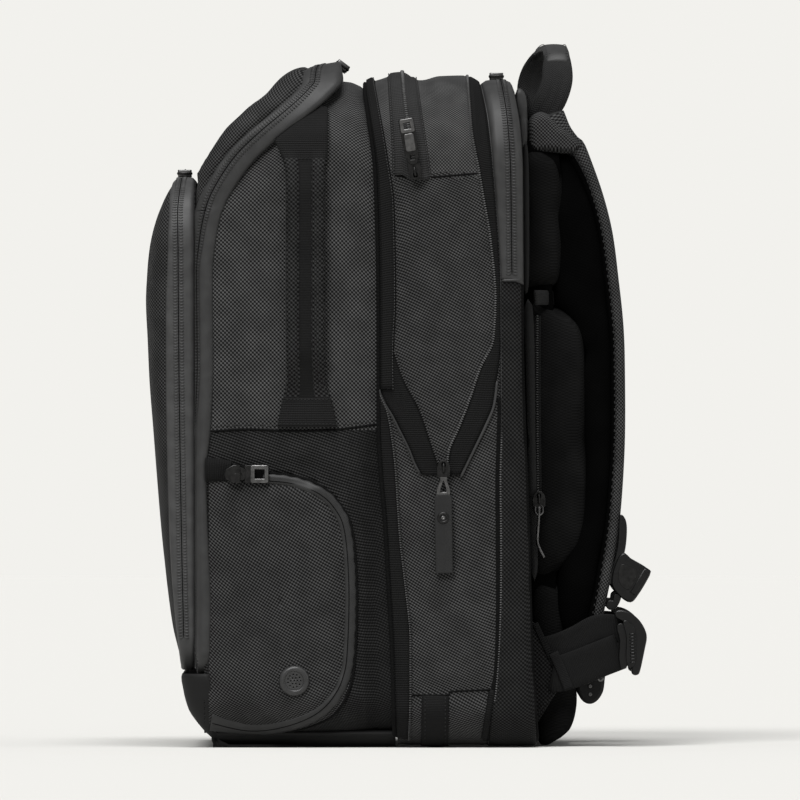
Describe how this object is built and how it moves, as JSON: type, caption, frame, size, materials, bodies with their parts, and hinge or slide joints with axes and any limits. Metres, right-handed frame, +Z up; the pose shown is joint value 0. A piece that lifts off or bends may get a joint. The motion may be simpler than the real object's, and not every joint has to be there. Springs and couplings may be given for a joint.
{
  "type": "travel backpack",
  "caption": "Clamshell travel backpack with a padded harness, an open expansion gusset, zipped side pockets and grab handles.",
  "frame": {"origin": "on the floor, under the middle of the bag's box", "axes": "+Z up, -Y towards the bag's front, +Y towards the wearer's back, +X the wearer's right"},
  "size_m": [0.352, 0.369, 0.5144],
  "materials": {
    "weave_fabric": "charcoal ballistic weave",
    "coated_fabric": "grey coated, satin",
    "smooth_fabric": "near-black, smooth",
    "mesh_foam": "black knit over foam",
    "webbing": "black woven tape",
    "lining_fabric": "grey lining",
    "moulded_plastic": "black, fine texture",
    "stiffener_plastic": "black sheet",
    "dark_metal": "black plated, satin",
    "rubber_tab": "black, matt"
  },
  "bodies": {
    "rear_section": {"rear_shell": "weave_fabric", "laptop_divider": "lining_fabric", "frame_sheet": "stiffener_plastic", "base_board": "stiffener_plastic", "yoke": "mesh_foam", "back_pad_upper": "mesh_foam", "back_pad_lower": "mesh_foam", "back_pad_base": "mesh_foam", "strap_wing_right": "weave_fabric", "strap_wing_left": "weave_fabric", "expansion_gusset": "weave_fabric"},
    "front_section": {"front_shell": "weave_fabric", "base_boot": "smooth_fabric", "compartment_divider": "lining_fabric", "side_pocket_liner_right": "lining_fabric", "side_pocket_liner_left": "lining_fabric", "side_handle_right": "webbing", "side_handle_left": "webbing"},
    "front_panel": {"front_panel": "weave_fabric"},
    "front_pocket": {"front_pocket": "weave_fabric"},
    "main_zip_carrier": {"main_zip_tape": "smooth_fabric"},
    "top_handle": {"top_handle": "webbing"},
    "side_pocket_door_right": {"side_pocket_door_right": "weave_fabric", "vent_eyelet_right": "moulded_plastic"},
    "side_pocket_slider_right": {"side_pocket_slider_right": "dark_metal"},
    "side_pocket_pull_right": {"side_pocket_pull_right": "dark_metal"},
    "main_slider_right": {"main_slider_right": "dark_metal"},
    "main_pull_right": {"main_pull_right": "dark_metal"},
    "expansion_slider_right": {"expansion_slider_right": "dark_metal"},
    "expansion_pull_right": {"expansion_pull_right": "rubber_tab"},
    "shoulder_strap_right": {"shoulder_strap_right": "mesh_foam", "strap_webbing_right": "webbing"},
    "ladder_lock_right": {"ladder_lock_right": "moulded_plastic"},
    "sternum_clip_right": {"sternum_clip_right": "moulded_plastic"},
    "side_pocket_door_left": {"side_pocket_door_left": "weave_fabric", "vent_eyelet_left": "moulded_plastic"},
    "side_pocket_slider_left": {"side_pocket_slider_left": "dark_metal"},
    "side_pocket_pull_left": {"side_pocket_pull_left": "dark_metal"},
    "main_slider_left": {"main_slider_left": "dark_metal"},
    "main_pull_left": {"main_pull_left": "dark_metal"},
    "expansion_slider_left": {"expansion_slider_left": "dark_metal"},
    "expansion_pull_left": {"expansion_pull_left": "rubber_tab"},
    "shoulder_strap_left": {"shoulder_strap_left": "mesh_foam", "strap_webbing_left": "webbing"},
    "ladder_lock_left": {"ladder_lock_left": "moulded_plastic"},
    "sternum_clip_left": {"sternum_clip_left": "moulded_plastic"},
    "front_panel_slider": {"front_panel_slider": "dark_metal"},
    "front_panel_pull": {"front_panel_pull": "dark_metal"},
    "front_pocket_slider": {"front_pocket_slider": "dark_metal"},
    "front_pocket_pull": {"front_pocket_pull": "dark_metal"},
    "laptop_slider": {"laptop_slider": "dark_metal"},
    "laptop_pull": {"laptop_pull": "dark_metal"},
    "back_pocket_slider": {"back_pocket_slider": "dark_metal"},
    "back_pocket_pull": {"back_pocket_pull": "dark_metal"}
  },
  "joints": [
    {"name": "expansion", "type": "slide", "parent": "rear_section", "child": "front_section", "axis": [0, 1, 0], "range_m": [0, 0.05], "deforming": ["expansion_gusset"]},
    {"name": "front_panel_open", "type": "hinge", "parent": "front_section", "child": "front_panel", "pos_m": [0, -0.157, 0.055], "axis": [1, 0, 0], "range_deg": [0, 90]},
    {"name": "front_pocket_open", "type": "hinge", "parent": "front_panel", "child": "front_pocket", "pos_m": [0, -0.1478, 0.0595], "axis": [1, 0, 0], "range_deg": [0, 22]},
    {"name": "main_zip_carrier_slide", "type": "slide", "parent": "rear_section", "child": "main_zip_carrier", "axis": [0, 1, 0], "range_m": [0, 0.0398]},
    {"name": "side_pocket_open_right", "type": "hinge", "parent": "front_section", "child": "side_pocket_door_right", "pos_m": [0.165, -0.1364, 0.1], "axis": [0, 0, -1], "range_deg": [0, 75]},
    {"name": "side_pocket_zip_right", "type": "slide", "parent": "side_pocket_door_right", "child": "side_pocket_slider_right", "axis": [0, 1, 0], "range_m": [0, 0.03]},
    {"name": "side_pocket_pull_swing_right", "type": "hinge", "parent": "side_pocket_slider_right", "child": "side_pocket_pull_right", "pos_m": [0.1685, -0.11, 0.2], "axis": [0, 0, -1], "range_deg": [0, 120]},
    {"name": "main_zip_right", "type": "slide", "parent": "main_zip_carrier", "child": "main_slider_right", "axis": [0, -0.168, 0.9858], "range_m": [0, 0.03]},
    {"name": "main_pull_swing_right", "type": "hinge", "parent": "main_slider_right", "child": "main_pull_right", "pos_m": [0.1714, 0.0118, 0.4276], "axis": [0, 1, 0], "range_deg": [0, 120]},
    {"name": "expansion_zip_right", "type": "slide", "parent": "rear_section", "child": "expansion_slider_right", "axis": [0, 1, 0], "range_m": [0, 0.0226]},
    {"name": "expansion_pull_swing_right", "type": "hinge", "parent": "expansion_slider_right", "child": "expansion_pull_right", "pos_m": [0.1685, 0.034, 0.197], "axis": [0, -1, 0], "range_deg": [0, 120]},
    {"name": "strap_swing_right", "type": "hinge", "parent": "rear_section", "child": "shoulder_strap_right", "pos_m": [0.072, 0.1, 0.462], "axis": [1, 0, 0], "range_deg": [0, 10]},
    {"name": "ladder_lock_tilt_right", "type": "hinge", "parent": "shoulder_strap_right", "child": "ladder_lock_right", "pos_m": [0.112, 0.165, 0.059], "axis": [-1, 0, 0], "range_deg": [0, 30]},
    {"name": "sternum_clip_swing_right", "type": "hinge", "parent": "shoulder_strap_right", "child": "sternum_clip_right", "pos_m": [0.096, 0.166, 0.165], "axis": [1, 0, 0], "range_deg": [0, 60]},
    {"name": "side_pocket_open_left", "type": "hinge", "parent": "front_section", "child": "side_pocket_door_left", "pos_m": [-0.165, -0.1364, 0.1], "axis": [0, 0, 1], "range_deg": [0, 75]},
    {"name": "side_pocket_zip_left", "type": "slide", "parent": "side_pocket_door_left", "child": "side_pocket_slider_left", "axis": [0, 1, 0], "range_m": [0, 0.03]},
    {"name": "side_pocket_pull_swing_left", "type": "hinge", "parent": "side_pocket_slider_left", "child": "side_pocket_pull_left", "pos_m": [-0.1685, -0.11, 0.2], "axis": [0, 0, 1], "range_deg": [0, 120]},
    {"name": "main_zip_left", "type": "slide", "parent": "main_zip_carrier", "child": "main_slider_left", "axis": [0, -0.168, 0.9858], "range_m": [0, 0.03]},
    {"name": "main_pull_swing_left", "type": "hinge", "parent": "main_slider_left", "child": "main_pull_left", "pos_m": [-0.1714, 0.0118, 0.4276], "axis": [0, -1, 0], "range_deg": [0, 120]},
    {"name": "expansion_zip_left", "type": "slide", "parent": "rear_section", "child": "expansion_slider_left", "axis": [0, 1, 0], "range_m": [0, 0.0226]},
    {"name": "expansion_pull_swing_left", "type": "hinge", "parent": "expansion_slider_left", "child": "expansion_pull_left", "pos_m": [-0.1685, 0.034, 0.197], "axis": [0, 1, 0], "range_deg": [0, 120]},
    {"name": "strap_swing_left", "type": "hinge", "parent": "rear_section", "child": "shoulder_strap_left", "pos_m": [-0.072, 0.1, 0.462], "axis": [1, 0, 0], "range_deg": [0, 10]},
    {"name": "ladder_lock_tilt_left", "type": "hinge", "parent": "shoulder_strap_left", "child": "ladder_lock_left", "pos_m": [-0.112, 0.165, 0.059], "axis": [-1, 0, 0], "range_deg": [0, 30]},
    {"name": "sternum_clip_swing_left", "type": "hinge", "parent": "shoulder_strap_left", "child": "sternum_clip_left", "pos_m": [-0.096, 0.166, 0.165], "axis": [1, 0, 0], "range_deg": [0, 60]},
    {"name": "front_panel_zip", "type": "slide", "parent": "front_panel", "child": "front_panel_slider", "axis": [1, 0, 0], "range_m": [0, 0.035]},
    {"name": "front_panel_pull_swing", "type": "hinge", "parent": "front_panel_slider", "child": "front_panel_pull", "pos_m": [0.033, -0.038, 0.496], "axis": [0, 0, 1], "range_deg": [0, 120]},
    {"name": "front_pocket_zip", "type": "slide", "parent": "front_pocket", "child": "front_pocket_slider", "axis": [1, 0, 0], "range_m": [0, 0.035]},
    {"name": "front_pocket_pull_swing", "type": "hinge", "parent": "front_pocket_slider", "child": "front_pocket_pull", "pos_m": [0.033, -0.156, 0.4205], "axis": [0, -1, 0], "range_deg": [0, 120]},
    {"name": "laptop_zip", "type": "slide", "parent": "rear_section", "child": "laptop_slider", "axis": [1, 0, 0], "range_m": [0, 0.035]},
    {"name": "laptop_pull_swing", "type": "hinge", "parent": "laptop_slider", "child": "laptop_pull", "pos_m": [0.033, 0.073, 0.4918], "axis": [0, -1, 0], "range_deg": [0, 120]},
    {"name": "back_pocket_zip", "type": "slide", "parent": "rear_section", "child": "back_pocket_slider", "axis": [0, 0, 1], "range_m": [0, 0.12]},
    {"name": "back_pocket_pull_swing", "type": "hinge", "parent": "back_pocket_slider", "child": "back_pocket_pull", "pos_m": [0.1116, 0.104, 0.1746], "axis": [0, -1, 0], "range_deg": [0, 120]},
    {"name": "top_handle_swing", "type": "hinge", "parent": "rear_section", "child": "top_handle", "pos_m": [0, 0.11, 0.466], "axis": [1, 0, 0], "range_deg": [-45, 15]}
  ],
  "couplings": [
    {"joint": "main_zip_carrier_slide", "follows": "expansion", "ratio": 0.795},
    {"joint": "expansion_zip_right", "follows": "expansion", "ratio": 0.45},
    {"joint": "expansion_zip_left", "follows": "expansion", "ratio": 0.45}
  ]
}
